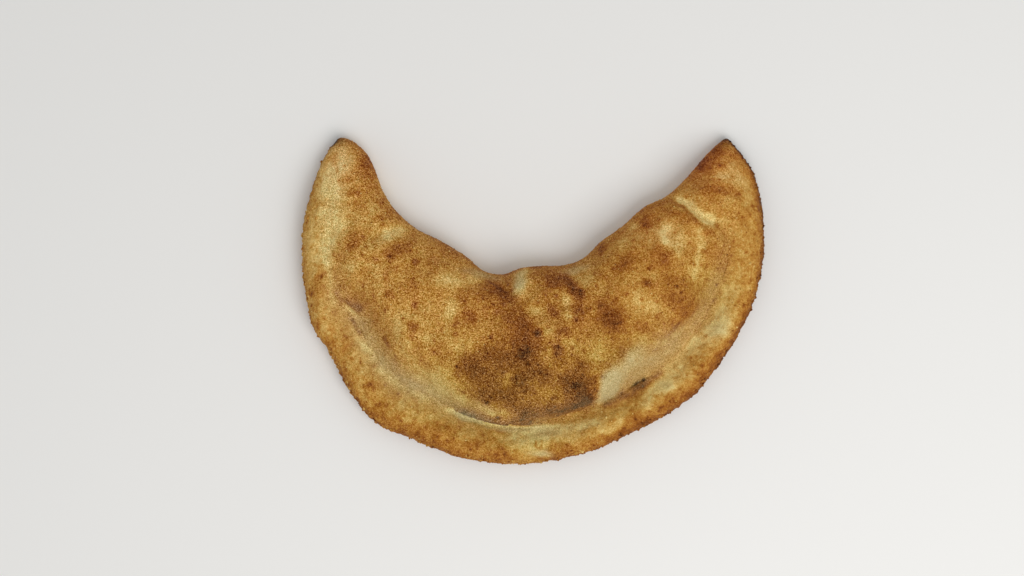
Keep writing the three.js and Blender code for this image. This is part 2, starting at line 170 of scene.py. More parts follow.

# ---- Baking, and painted light and shade: x, y, half length, half width, change, turn. 0 is the palest dough and 1 the darkest ----
TOAST_RANGE = (0.02, 1.12)
BODY_TOAST, RIM_TOAST = 0.47, 0.4
RIM_SPOTS = 0.58  # share of the changes below that counts on the rim
SPOT_SHARPNESS = 1.25
BAKING = [
    # the middle, darker
    (-15, 5, 8, 2.6, 0.34, -35), (-20, 4, 8, 6, 0.15), (-6, -16, 15, 6, 0.3, -70), (-17, -5, 2, 2, 0.25),
    (2.6, -15.7, 2.6, 2.2, 0.58), (-4, -13, 4, 4, 0.2), (12, -24, 2.5, 2.5, 0.3), (11.5, -21, 2, 4, 0.2),
    (9, -2, 2, 2, 0.3), (9.5, -5.5, 2, 2, 0.3), (14.7, -15, 3, 3, 0.36), (11.5, 10, 6, 3.5, 0.34),
    (20, 6.5, 6, 3, 0.48, -50), (22, -4, 3, 6, 0.25), (37, -7, 6.5, 7, 0.37), (32, -0.5, 3, 3, 0.2),
    (-29.5, -6.5, 4, 4.5, 0.27), (27.5, -16, 3, 3, 0.17), (-37, -16, 1.5, 1.5, 0.3), (-11, 12, 2, 2.5, 0.16),
    # the scorch in the middle
    (-4, -38, 32, 17, 0.17), (-30, -31, 7, 6, 0.31), (-20, -25, 8, 5, 0.2), (-10, -28, 10, 6, 0.22),
    (-4, -23, 4, 5, 0.22), (-24, -36, 8, 5, 0.15), (-22, -44.5, 8, 4.5, 0.22), (-10, -45, 8, 6, 0.24),
    (-5, -37, 5, 5, 0.2), (3, -34, 6, 5, 0.24), (22, -33, 4, 6, 0.24), (22, -42, 8, 7, 0.41),
    (26, -47, 5, 4, 0.44), (15, -50, 9, 3.5, 0.26), (5, -53, 11, 3.5, 0.25), (-6, -53.5, 7, 3, 0.25),
    # (-19, -52.5) is a painted highlight on the ledge above the lip
    (16, -38, 4, 4, 0.2), (-10, -34, 3, 3, -0.12), (-19, -52.5, 5, 2, -0.2, -15), (29, -38, 2, 3, 0.2),
    # the middle, paler
    (-39, -4, 4, 7, -0.35), (-27, 11, 5, 3, -0.25), (-35, 9, 6, 4, -0.2), (-5, 10, 6, 3, -0.4, 70),
    (-6, 5, 3, 3, -0.3), (15.5, 1.5, 2.5, 3, -0.26), (16.5, -7, 3, 3.5, -0.26), (3, -4, 4, 3, -0.2),
    (24, 11, 6, 4, -0.25), (17, -20, 4, 3, -0.25), (7, -15, 3, 2, -0.25), (28, -24, 7, 5, -0.2),
    (33.5, -26, 5, 4.5, -0.27), (-33, -20, 6, 4, -0.15), (-50, -19, 3, 3, -0.18), (-62, -21, 3, 3, -0.15),
    # the left, darker
    (-84, 30, 5, 4, 0.26), (-66, 25, 5, 4, 0.35), (-61, 24, 4, 4, 0.28), (-58, 29, 3, 4, 0.2),
    (-66, 20, 3, 3, 0.2), (-56, 19.5, 2.5, 2, 0.35), (-69, 12, 2.5, 3.5, 0.25), (-68, 4, 3, 2, 0.25),
    (-74, 20, 2.5, 1.5, 0.22), (-80, 65, 4, 6, 0.14), (-94, 67, 1.5, 3, 0.25), (-89, 65, 1, 1, 0.3),
    (-92, 63.3, 1, 1, 0.3), (-90, 57, 4, 2, 0.24), (-99.5, 56, 2, 3, 0.3), (-100, 46, 2, 1.3, 0.25),
    (-81, -12, 3, 3, 0.14), (-102.5, 45.5, 2.5, 2, 0.2), (-102.5, 31.5, 1.5, 1.2, 0.35),
    (-103, 12, 2, 1.5, 0.3), (-101, 13, 2, 2.5, 0.4), (-104, 5, 3, 2, 0.2),
    (-92, 22, 4, 5, 0.15), (-46, 20, 6, 6, 0.12), (-57, 8, 4, 3, 0.15), (-73, 40, 3, 2, 0.15),
    (-72, 47, 3, 2, 0.15), (-55.5, -1.5, 2, 2.5, 0.35), (-57, -11.5, 3, 2.5, 0.35), (-58, -16, 2, 3, 0.2),
    (-54, -22, 2, 3, 0.15), (-45, -24, 6, 6, 0.15), (-65, -28.5, 1.5, 1.5, 0.2), (-69, -18, 3, 4, 0.12),
    (-83, -2, 3, 2, 0.12), (-85, -12, 1, 2.5, 0.12), (-54.5, -47, 2, 2, 0.25),
    # the left, paler
    (-96, 56, 5, 7, -0.34), (-89, 68, 4, 5, -0.2), (-100, 42, 5, 4, -0.2), (-105, 35, 3, 4, -0.3),
    (-97, 28, 5, 9, -0.32), (-97, 20, 4, 6, -0.3), (-104, 24, 3, 5, -0.15), (-66, 33, 7, 3, -0.3, 15),
    (-86.5, 17.5, 4, 3, -0.25), (-73, 8, 2.5, 4, -0.12), (-96, 6, 2, 5, -0.25), (-40.5, 11.5, 6, 6, -0.22),
    (-85.5, -5.5, 4.5, 1, -0.3, -45), (-79, -22, 5.5, 2, -0.18, -45), (-66.5, -36.5, 5.5, 2, -0.15, -45),
    # the rim on the lower left
    (-78, -40, 3, 2, 0.3), (-86, -37.5, 5, 3, 0.35), (-90, -33, 3, 3, 0.15), (-86, -22, 3, 2, 0.2),
    (-71, -46, 4, 3, 0.22), (-64, -45, 2, 2, 0.35), (-70, -49, 3, 2, 0.3), (-71.5, -52.5, 4, 2.5, 0.45),
    (-62, -53, 3, 2, 0.2), (-66, -56, 4, 2, 0.2), (-61.5, -59.5, 4, 2.5, 0.4), (-52, -62, 5, 3, 0.25),
    (-45, -60, 5, 3, 0.25), (-40, -61, 3, 3, 0.3), (-41, -67, 10, 3.5, 0.45, -12), (-94, -5, 2, 2, 0.2),
    (-82.5, -46, 3, 2.5, 0.34), (-76, -32, 4, 3, 0.12), (-97.5, -13, 3, 3, -0.55), (-62, -48, 4, 1.5, -0.35),
    (-76, -46, 4, 2, -0.25), (-47, -56, 4, 3, -0.2), (-55, -52, 5, 4, -0.15), (-68, -37, 3, 2, -0.2),
    (-72, -33, 3, 2, -0.2),
    # the rim at the bottom
    (2, -63, 4, 3, -0.35), (-8, -63, 6, 4, -0.2), (3, -72.5, 5, 2, -0.4), (21, -66, 4, 4, -0.2),
    (29, -60, 5, 3, -0.25), (6, -62, 5, 2, -0.25), (14, -62, 5, 4, -0.2), (8, -65, 4, 1.5, 0.2, -60),
    (10, -69, 5, 4, 0.3), (-29, -68, 3, 2, 0.25), (-15.5, -71.5, 3, 5, 0.35),
    (-15.5, -60, 2, 1.5, 0.4), (25, -61, 3, 1.5, 0.3), (28, -66, 6, 3, 0.3), (35, -64.5, 2, 1.5, 0.3),
    (38, -49, 5, 2, 0.2), (35, -55, 5, 3, 0.15), (-32, -56.5, 3, 1.5, 0.15), (-30, -52, 3, 1.5, 0.2),
    (11, -74, 2, 1.2, 0.4),
    # the rim on the right
    (51, -41, 6, 2.5, 0.35, 35), (44, -44, 5, 2, 0.2), (58, -36, 5, 2.5, 0.2, 30), (50, -47, 4, 3, 0.2),
    (46, -51, 4, 3, 0.3), (50, -53, 3, 3, 0.25), (45, -57, 4, 3, 0.15), (43, -62, 5, 2, 0.2),
    (60, -46, 3, 3, 0.3), (66, -44, 3, 2, 0.3), (70, -43, 3, 3, 0.2), (67.5, -47.5, 3, 2, 0.35),
    (60, -50, 4, 2, 0.2), (73, -27, 4, 2, 0.15), (75, -28, 3, 3, 0.2), (78.7, -34, 2.5, 2, 0.6),
    (68, -37, 2, 2, 0.2), (66, -35, 1.2, 1.2, 0.2), (82, -23, 5, 4, 0.15), (86, -26, 4, 4, 0.2),
    (73, -31, 3, 3, 0.12), (62, -26, 4, 3, 0.15), (88, -18, 3, 3, 0.15), (63, -40, 4, 2.5, -0.5),
    (56, -43.5, 3, 3, -0.4), (75, -35, 4, 1.5, -0.3), (55, -51, 4, 2, -0.2, 30), (78, -39, 5, 1.5, -0.15, 20),
    (42, -57, 2, 3, -0.3), (35, -61, 4, 1.5, -0.25), (91, -11, 3, 5, -0.35), (86, -13, 4, 3, -0.25),
    (88, -5, 4, 6, -0.15), (76, -20, 4, 2, -0.3, 30), (95, 2, 4, 3, -0.15), (97, 5.5, 4, 3, -0.4),
    # the body beside it
    (52, -12, 4, 3, 0.2), (60, -6, 2.5, 2.5, 0.2), (74, -4, 6, 4, 0.08), (62, -0.5, 3, 3, 0.15),
    (68, -11.5, 3, 2, 0.15), (85, -1, 3, 3, 0.15), (91, -1, 3.5, 8, -0.22, -20), (43, -22.5, 3, 3, 0.15),
    (53.5, 8.5, 2.5, 2, 0.35), (52, -2, 1, 1, 0.2), (56, -3, 6, 3, -0.2), (50, 2, 4, 5, -0.18),
    # the right, darker
    (55, 39, 4, 5, 0.25), (52, 36, 5, 4, 0.2), (66, 42, 4, 2, 0.25), (72, 40, 4, 3, 0.15),
    (60, 24, 4, 5, 0.28), (64, 22, 3, 3, 0.2), (62, 17.5, 6, 3, 0.23), (51.5, 22, 5, 5, 0.14),
    (42.5, 17.5, 7, 4, 0.3), (67, 11, 3, 2, 0.15), (71, 9, 4, 3, 0.1), (68, 2, 5, 3, 0.15),
    (33, 25, 3, 3, 0.3), (83, 32, 3, 2, 0.22), (86.5, 17.5, 6, 5, 0.16), (82, 23, 2, 1, 0.3),
    (88, 53, 7, 3, 0.33), (86, 48, 5, 3, 0.12), (95, 52, 5, 3, 0.12), (83, 65, 6, 3, 0.15, 20),
    (79, 66, 4, 4, 0.2), (87, 71, 5, 3, 0.25), (78, 56, 5, 4, 0.1), (100.5, 40.5, 3, 4, 0.28),
    (106.5, 36, 2, 4, 0.2),
    # the right, paler
    # (84, 38.8) is the wide pale end of the right horn's fold, partly a painted highlight
    (84, 38.8, 4, 2.6, -0.4, -8), (63, 34.5, 3.5, 3.5, -0.22), (61.5, 31, 3, 3, -0.2),
    (63, 28.3, 2.6, 1.3, -0.35, -30), (69, 30, 3, 4, -0.2), (69, 23, 2.5, 4, -0.2),
    (90, 60, 4, 2.5, -0.3), (95, 62.5, 3, 3, -0.25), (98, 57, 3, 5, -0.25),
    (102, 50, 2, 6, -0.2), (48, 36, 3, 2, -0.25),
]
# most are browning, but some are painted shade and painted light, marked below
BROAD_TONES = [  # softer and wider than the spots above
    (-94, 56, 8, 20, -0.34), (-92, 30, 6, 10, -0.26), (-62, 26, 8, 6, -0.12), (0, 0, 38, 14, 0.12),
    (34, -26, 7, 5, 0.38), (19, -6, 3, 6, 0.15), (-36, 4, 5, 8, 0.12), (-60, -8, 8, 8, -0.18),
    (-82, -26, 5, 5, -0.28), (-84, -4, 11, 3.5, 0.1, -62), (-48, -38, 10, 7, -0.22, -30),
    # (1, -66) is paler dough with painted light on the rim, where the crease shades its inner slope
    (66, -33, 32, 5, -0.31, 44), (87, -13, 4, 8, -0.34, -30), (1, -66, 12, 5, -0.46),
    # (24, -59) is painted light on the rim's inner wall, in the crease's shade
    (24, -59, 10, 3, -0.25, 22), (-99, 44, 6, 7, -0.1), (20, 6, 4, 4, 0.15), (92, 42, 8, 4, -0.1),
    (53, -49.7, 7, 3, -0.17, 30), (-98.5, 66, 2, 3, 0.14), (-66, 42, 3, 3, 0.13), (-90, -14.5, 3, 3, -0.13),
    (-49, -1, 4, 7, -0.13), (-62, -8, 4, 4, -0.13), (-106.5, 12, 2, 5, -0.12), (-2.5, 14.5, 3, 2, -0.16),
    (-0.5, -41.5, 3, 3, -0.16), (96.5, 68, 2, 3, 0.16),
    (15, -68, 9, 3.5, 0.2, 15), (46, -56, 6, 4, 0.1, 25), (72, -2, 12, 5, 0.17, 55), (57, 6, 11, 6, 0.12),
    # (77, 41) widens the pale fold on the right horn and its painted highlight
    (62, 29, 11, 7, -0.16), (77, 41, 8, 4, -0.3, -35), (95, 56, 5, 6, -0.1), (38, -14, 8, 5, 0.12),
    (-18, -19, 5, 4, 0.15), (-22, -69, 9, 4, 0.12, -10), (100, 1, 3, 6, 0.22), (3, -21, 4, 5, 0.27),
    (-84, -38, 6, 5, -0.17, -50), (-8, -50, 12, 3, 0.12), (77, -22, 6, 2.5, -0.22, 40),
    # (76.5, 37.5) is painted shade under the fold on the right horn
    (68, -37, 5, 2, -0.15, 35), (76.5, 37.5, 2.5, 2, 0.15), (91, 38.5, 4, 1.5, -0.14),
    (99.5, 23, 4, 7, -0.14), (54, 26, 2.5, 2, -0.14), (66, 26, 2, 2, -0.13), (56, 11.5, 4, 2, -0.15),
    (91, 50.5, 3, 2, 0.14), (96, 59.5, 1.5, 2, 0.17), (-91, 63.5, 4, 4, -0.2), (-84.5, 50.3, 3, 2, 0.3),
    (-85, 44.5, 4, 2, 0.15), (-75, 43.5, 2, 2.5, -0.26), (-92.5, 41, 4, 3, 0.14), (-95, 33, 4, 3, 0.14),
    (-88.5, 26, 4, 4, 0.2), (-96, 21.5, 2.5, 6, 0.17), (-77, 27, 5, 5, -0.15), (-103, 18, 3, 3, -0.14),
    (-63, 19, 3, 3, -0.13),
    # (18.5, -51.3) is painted shadow under the overhanging body's lower edge
    (-34, -45.5, 4.5, 2.5, -0.25, -25), (18.5, -51.3, 5, 1.7, 0.17, 14), (21.5, -62, 5, 2, 0.13),
    (12, -65.5, 2.5, 1.5, 0.13), (29.8, -55, 2, 1.3, 0.14), (58.9, -41.2, 2.5, 2, -0.13),
    (63, -46.3, 2, 2, -0.12), (57, -29.5, 4, 3, 0.15), (66.3, -30.3, 4, 2, 0.13, 45),
    (71.2, -34.8, 2, 2, -0.13), (64, -20.3, 6, 2.5, 0.1, -39), (-83.7, -8.8, 3, 2.2, 0.27, 25),
    (-83, -14.8, 3, 2, 0.18), (-65, -15, 6, 3, -0.12, 35), (-79, -32, 4, 6, -0.1), (-54, -38.3, 4, 2.5, 0.26),
    (-67, -35.7, 2.5, 1.5, 0.15), (-43, -42.5, 5, 2.5, -0.12, -25), (86.6, -12.6, 2, 2, -0.24),
    # (3.5, -62.2) is painted light on the rim's inner wall, in the crease's shade
    (55, -20, 3, 2, -0.1), (-55.4, -54, 2, 1.5, 0.12), (37.8, -57.5, 2, 1.5, 0.12), (3.5, -62.2, 4, 2, -0.34),
    # (-1, -57), (-14.5, -61) and (-4, -59) on the next line are painted shade in the gap above the lip and
    # under the lip
    (11.5, -44.5, 4, 4, -0.12), (-1, -57, 6, 2, 0.2), (-14.5, -61, 3, 1.5, 0.2), (21.5, -48, 3, 3, 0.1),
    (-4, -59, 5, 1.2, 0.16), (-97, 4, 3, 5, 0.12), (41.8, -50.6, 2.5, 1.5, -0.13),
    (44, -54.8, 2.5, 1.5, 0.13), (47.8, -36.6, 2, 2.5, 0.15), (52, -42.8, 2.5, 1.2, 0.15, 35),
    (53.3, -34.4, 2.5, 1.5, 0.15, 35), (66.5, -22.3, 2.5, 2, 0.1), (68, -32, 1.5, 1.5, 0.12),
    (73.2, 0.4, 2.5, 2.5, -0.12),
]
TONE_AND_PAINTED_LIGHT_LINES = [  # browning, painted shade and painted highlights along a line: its points, half width, change
    # painted shade in the gap above the lip, and painted shadow along the overhanging body's lower edge
    ([
        (-35.5, -50.7), (-32.3, -52), (-26.3, -54.3), (-20, -55.9), (-13, -57.5), (-7, -58.1), (-1, -58),
    ], 1.2, 0.46),
    ([
        (-32, -51.5), (-20, -55.3), (-14, -56), (-1.5, -54.5), (5, -54.2), (16, -51.4), (22, -50), (27, -47),
    ], 1.7, 0.18),
    ([(20, -53.4), (24, -52), (28, -50.2), (32, -47.4)], 1.3, -0.14),  # the pale step under its right end
    # painted light on the rim's inner wall, where the crease shades it
    ([(0, -62.2), (8, -61.3), (16, -60), (24, -58.2), (32, -55.8)], 2.2, -0.26),  # the pale wall under it
    # the lip, pale dough with a painted highlight along it
    ([
        (-40, -51.5), (-33, -54.1), (-27, -56.3), (-20.5, -58), (-14, -59), (-8, -60.2), (12, -59.5),
    ], 1.4, -0.55),
    ([(-99, 21), (-97.5, 14), (-96.3, 9), (-95.2, 2.4), (-92, -4)], 1.5, -0.13),  # the pale crest on the left
    ([(-93, 4.5), (-91.3, 0.5), (-90, -3)], 1.6, 0.17),
    ([(-56, -24.5), (-51.5, -27.5), (-48, -32.5)], 2, 0.12),
    # painted shade in the hollows of the left crease's folds and along its groove, and a painted highlight on
    # the ridge
    ([(-88, 0.8), (-85.5, -2), (-82, -3.6)], 1.5, 0.32),  # the folds in the left crease, from the top down
    ([(-89.5, -1.5), (-87, -4), (-85, -6.5), (-82, -8), (-78, -9)], 1.4, -0.14),
    ([(-85.5, -9.5), (-84, -12.5), (-82.2, -15)], 0.9, 0.34),
    ([(-85.5, -14), (-82, -18.5), (-78, -23), (-75.5, -26.5)], 2.1, -0.18),
    ([(-70.5, -17.5), (-67, -22)], 1.1, 0.22),
    ([(-73, -33), (-66, -38.5), (-59, -43), (-50, -47)], 1.8, -0.15),
    ([(-66, -32), (-60, -37.5), (-52, -42)], 2.5, 0.12),
    # paler dough with a painted highlight along the right horn's fold, and painted shadow on its lower side
    ([(69, 49), (73, 46.9), (77, 43), (80.5, 40.3), (84.5, 38.5)], 1.9, -0.6),  # the fold on the right horn
    ([(66, 47.5), (71.5, 44.8), (75.5, 41), (78, 37)], 1.7, 0.22),
    ([(78.7, 33), (80.2, 28), (79.4, 23), (77.2, 17), (76, 12)], 1.8, -0.28),
    ([(-73.5, 57), (-70, 50), (-67.5, 46)], 1.2, -0.2),  # the fold's edge on the left horn
    # painted shade along the right crease, and the folds above it
    ([(34, -49.7), (40.2, -47), (45.5, -44), (51, -40.7), (56, -37.5), (61, -33.8)], 1.5, 0.32),
    ([(62.5, -19.3), (68, -16), (72.5, -12)], 1, -0.12),
    ([(63.5, -16.8), (65.7, -14.4), (70, -9.8)], 1.3, 0.17),
    ([(79.5, 0), (77, -4), (72.5, -8)], 1.5, 0.12),
]
# partly real browning, partly painted shade where the outer edge turns down to the floor
OUTER_BROWNING_AND_SHADE = [  # towards the outer edge, by degrees
    (154, 0), (180, 0.04), (200, 0.08), (218, 0.16), (226, 0.24), (240, 0.24), (262, 0.18), (280, 0.27),
    (296, 0.42), (330, 0.42), (345, 0.38), (375, 0.38), (386, 0.2),
]
OUTER_BROWNING_AND_SHADE_DEPTH = 4.5
# darker towards the fold's edge, over a depth
FOLD_DARKENING, FOLD_DARKENING_DEPTH = 0.15, 4
BROWN_RINGS = [(2.5, -67, 2.2, 0.3), (106, 44, 1.3, 0.3)]  # burst bubbles: x, y, radius, change
RING_HALF_WIDTH = 0.6
FOOT = SimpleNamespace(heights=(3, 9), change=0.12, fold_side=0.3)  # browner at the rim, paler at the fold
UNDERSIDE = SimpleNamespace(below=(0.2, 3), toast=0.66, mottling=3)
MOTTLING = [(13, 0.06, 71), (6, 0.07, 72), (3.2, 0.07, 73)]  # size, change and seed of the uneven browning
SPOT_WARP = [(8, 1.3, 81), (2.8, 0.6, 84)]  # size, shift and seed that break up the spots' outlines

# ---- Rim blotches, flour and char, by degrees ----
RIM_BLOTCHES = [
    (160, 0.3), (185, 0.5), (205, 0.9), (235, 0.9), (250, 0.7), (270, 0.6), (300, 0.85), (345, 0.75),
    (365, 0.4), (386, 0.2),
]
BLOTCH = SimpleNamespace(layers=[(4.2, 1, 91), (1.9, 0.4, 92)], edge=(0.15, 0.6), change=0.06, pale=-0.05)
# the rim's lumps, with brown lines between them
RIM_WEB = SimpleNamespace(
    size=3.1, seed=92, lump=0.45, line_at=-0.15, line=0.16, change=0.09, pale_from=(0.1, 0.5), pale=-0.05,
)
MOST_UNDER_FLOUR = 0.4  # how browned the dough under flour is at most
BODY_FRECKLES = SimpleNamespace(count=260, radius=(0.6, 1.5), rise=(0.12, 0.38), seed=53)
RIM_FRECKLES = SimpleNamespace(count=420, radius=(0.45, 1.2), rise=(0.12, 0.4), seed=54)
FLOUR = [
    (190, 0), (205, 0.25), (215, 0.5), (238, 0.65), (250, 0.4), (262, 0.15), (284, 0.1), (296, 0.5),
    (320, 0.5), (335, 0.3), (347, 0.1), (355, 0),
]
FLOUR_INSET = [(200, 0), (240, 1.5), (285, 2), (300, 6), (318, 6), (335, 2)]  # from the crease to the body
FLOUR_WIDTH = [(200, 7), (285, 6), (300, 8), (318, 8), (335, 5)]
FLOUR_PATCHES = [  # x, y, half length, half width, strength, turn
    (37, -38, 8, 4, 0.9, 48), (35.5, -44, 5, 3, 0.7, 40), (48, -26, 6, 4, 0.5, 50), (88, -13, 5, 4, 0.5, 45),
    # the whitest flour on the lip at (-30, -55.5) and (-14, -59.7), and at (3, -72.2) on the rim's lower
    # edge, is partly a painted highlight
    (-30, -55.5, 8, 1.6, 1.3, -24), (-14, -59.7, 7, 1.4, 0.8, -5), (4, -60, 6, 3, 0.55),
    (3, -72.2, 5, 1.8, 0.8), (62, -40, 3.5, 2.5, 0.5), (-6, 9, 2.6, 5, 0.7, -15),
    (-22, -50.5, 6, 2, 0.25, -20), (-24, 13.2, 9, 1.8, 0.4, -14), (20.5, 15.4, 7, 1.6, 0.4, 12),
    (72, -8, 8, 5, -0.3, 50), (29.5, -41.5, 3, 5, -0.7, -15),
]
FLOUR_SHARPNESS = 1.3
FLOUR_CLOUDS = [(7, 0.18, 95), (3, 0.12, 96)]  # size, change and seed
EDGE_SCORCH = [
    (154, 1), (158, 0.3), (180, 0.05), (200, 0.05), (235, 0.08), (300, 0.08), (330, 0.12), (350, 0.3),
    (370, 0.5), (386, 1),
]
EDGE_SCORCH_DEPTH = 2
SCORCH_CLOUDS = [(3.5, 0.35, 97), (1.5, 0.25, 98)]
BURNT_TIPS = [(-93, 77.5, 5, 3.5, 0.75), (93, 77, 5, 3.5, 0.85)]
TIP_VALUES = {  # at the left and the right tip
    "toast": (1, 1), "flour": (0, 0), "char": (0.75, 0.85), "grit": (1, 1), "olive": (0, 0),
}

# ---- Colours of the baked dough by toast, in sRGB ----
DOUGH_COLOURS = [
    (0, (229, 204, 132)), (0.15, (218, 181, 107)), (0.3, (203, 160, 84)), (0.45, (188, 136, 60)),
    (0.65, (166, 107, 39)), (0.82, (142, 82, 27)), (1, (117, 63, 17)), (1.15, (84, 43, 11)),
]
FLOUR_COLOUR = (190, 179, 132)
CHAR_COLOUR = (52, 30, 16)
OLIVE_SHIFT = (-0.04, 0.02, 0)  # added to the displayed colour where it is one step greener
OLIVE_TONES = [  # x, y, half length, half width, steps; redder below 0
    (-12, -42, 50, 20, 0.75), (40, -24, 22, 12, 0.45), (84, 6, 12, 12, 0.5), (0, -68, 14, 7, 0.4),
    (-91, 64, 10, 14, -0.6), (84, 64, 18, 12, -0.7), (58, 34, 14, 10, -0.45),
]
FLOUR_COVER = 0.75  # how far flour hides the dough's colour
SHADE_NOISE = [(1.1, 0, 0.5, 0.28), (2.6, 2, 0.6, 0.4)]  # size, detail, roughness, change in toast
SHADE_LOST = 0.6  # the share of it that flour takes away
SAND_SIZES, COARSE_SHARE = (0.95, 0.44), 0.3
GRIT_CONTRAST = 0.74  # between the grains and the gaps
DARKEST_GAP = 0.02
GRIT = SimpleNamespace(body=1, rim=0.54, right=0.7, right_from=(15, 45), flour=0.6)  # how sandy each is
DISPLAY_GAMMA = 2.2
FINISH = SimpleNamespace(roughness=0.62, floury=0.25, specular=0.06, bump=0.6, bump_depth=0.25)
MAP_MARGIN, UNDERSIDE_ON_MAP = 0.004, 0.3  # on the square map; the underside is squeezed to this share

# ---- Grains and crumbs: toast is the mean and spread of what is added to the dough's ----
SEMOLINA = SimpleNamespace(
    count=9000, radius=(0.17, 0.36), subdivisions=1, sunk=0.35, toast=(-0.05, 0.2), seed=101,
    on_rim=0.55, on_flour=0.4, from_width=(2, 14),
)
CRUMBS = SimpleNamespace(
    count=650, radius=(0.25, 0.8), subdivisions=2, sunk=0.25, toast=(-0.02, 0.18), seed=102,
    on_rim=0.02, edge_depth=3,
)
LUMP = SimpleNamespace(uneven=(0.75, 1.25), stretch=(0.65, 1.2), flour=0.5, grit=0.5, on_map=0.35)

# ---- Stage ----
PIXEL = 0.474  # millimetres in the picture, at the height where the calzone is widest
PICTURE_WIDTH = 1024
CAMERA_PLACE = (-9.95, 6.4)
CAMERA_HEIGHT = 900
WIDEST_AT = 10
SENSOR = 36
FLOOR_COLOUR = (238, 237, 234)
FLOOR_ROUGHNESS = 0.8
FLOOR_SIZE = 6  # metres, as are the light's place and size
ROOM_LIGHT = 0.58
KEY_LIGHT = SimpleNamespace(place=(0.35, -0.5, 0.9), size=0.7, power=5.6)


# ---- Small helpers ----
def mix(a, b, share):
    return a + (b - a) * share


def smooth(x):
    return x * x * (3 - 2 * x)


def smoothstep(start, end, x):
    return smooth(np.clip((x - start) / (end - start), 0, 1))


def bell(x):
    return np.exp(-(x**2))


def quarter_round(x):
    return np.sqrt(np.maximum(0, 1 - (1 - np.minimum(x, 1)) ** 2))


def turned(x, y, degrees):
    """A place's distances along and across a direction."""
    c, s = math.cos(math.radians(degrees)), math.sin(math.radians(degrees))
    return x * c + y * s, y * c - x * s


def corner_value(column, row, seed):
    n = np.sin(column * 127.1 + row * 311.7 + seed * 74.7) * 43758.5453
    return 2 * (n - np.floor(n)) - 1


def flat_noise(x, y, seed):
    """Smooth noise from -1 to 1 with one cell per unit, the same as the solid's."""
    column, row = np.floor(x), np.floor(y)
    across, up = smooth(x - column), smooth(y - row)
    low = mix(corner_value(column, row, seed), corner_value(column + 1, row, seed), across)
    high = mix(corner_value(column, row + 1, seed), corner_value(column + 1, row + 1, seed), across)
    return mix(low, high, up)


def space_noise(points, size, seed):
    """Smooth noise from -1 to 1 in space, with cells of the size given."""
    scaled = points / size
    cell = np.floor(scaled).astype(np.int64)
    share = scaled - cell
    share = share**3 * (share * (6 * share - 15) + 10)
    total = np.zeros(points.shape[:-1])
    for corner in itertools.product((0, 1), repeat=3):
        at = cell + corner
        code = at[..., 0] * 73856093 ^ at[..., 1] * 19349663 ^ at[..., 2] * 83492791 ^ seed * 26544357
        code = ((code & 0xFFFFFFFF) * 1274126177) & 0xFFFFFFFF
        code = ((code ^ code >> 15) * 668265263) & 0xFFFFFFFF
        value = (code ^ code >> 16) / 2**31 - 1
        total += value * np.prod(np.where(corner, share, 1 - share), axis=-1)
    return total


def layered(points, layers):
    return sum(rise * space_noise(points, size, seed) for size, rise, seed in layers)


def along_rim(table, degrees):
    """Reads a table of (degrees, value) with smooth steps between its entries."""
    at, value = np.array(table, float).T
    i = np.clip(np.searchsorted(at, degrees), 1, len(at) - 1)
    share = np.clip((degrees - at[i - 1]) / (at[i] - at[i - 1]), 0, 1)
    return mix(value[i - 1], value[i], smooth(share))


def unevenness(degrees, size, rise, seed):
    return rise * flat_noise(degrees / size, 0.5, seed)


def blots(x, y, spots, sharpness=1.0):
    """The sum of soft oval spots: x, y, half length, half width, strength and perhaps a turn."""
    total = np.zeros_like(x)
    for cx, cy, long, wide, strength, *turn in spots:
        along, across = turned(x - cx, y - cy, turn[0] if turn else 0)
        total += strength * np.exp(-(((along / long) ** 2 + (across / wide) ** 2) ** sharpness))
    return total


def as_seen(points):
    """Where each place appears from the camera, in the level plane where the calzone is widest."""
    grown = CAMERA_HEIGHT / (CAMERA_HEIGHT + WIDEST_AT - points[..., 2])
    seen = CAMERA_PLACE + (points[..., :2] - CAMERA_PLACE) * grown[..., None]
    return seen[..., 0], seen[..., 1]


def wobbled(points):
    """The same with the wobble that breaks up the outlines of spots."""
    x, y = as_seen(points)
    return x + layered(points + 50, SPOT_WARP), y + layered(points + 100, SPOT_WARP)


def drawn(x, y, lines):
    """The sum of soft lines: their points, half width and strength."""
    total = np.zeros_like(x)
    for points, half_width, strength in lines:
        nearest = np.full_like(x, np.inf)
        for (ax, ay), (bx, by) in itertools.pairwise(points):
            dx, dy = bx - ax, by - ay
            share = np.clip(((x - ax) * dx + (y - ay) * dy) / (dx * dx + dy * dy), 0, 1)
            nearest = np.minimum(nearest, np.hypot(x - ax - share * dx, y - ay - share * dy))
        total += strength * bell(nearest / half_width)
    return total


def at_edge(surface, depth):
    """1 at the rim's outer edge, falling off over a depth."""
    return bell(surface.from_edge / depth) * (surface.from_crease < 0)


def on_rim(surface, fade):
    """1 on the rim and 0 on the body."""
    return 1 - smoothstep(*fade, surface.from_crease)


# ---- The loft ----
def outer_edge(degrees):
    radius = EDGE_RADIUS
    for at, spread, out in [*RIM_SWELLS, STUCK_LUMP]:
        radius += out * math.exp(-(((degrees - at) / spread) ** 2))
    angle = math.radians(degrees)
    return HUB[0] + radius * math.cos(angle), HUB[1] + radius * math.sin(angle)


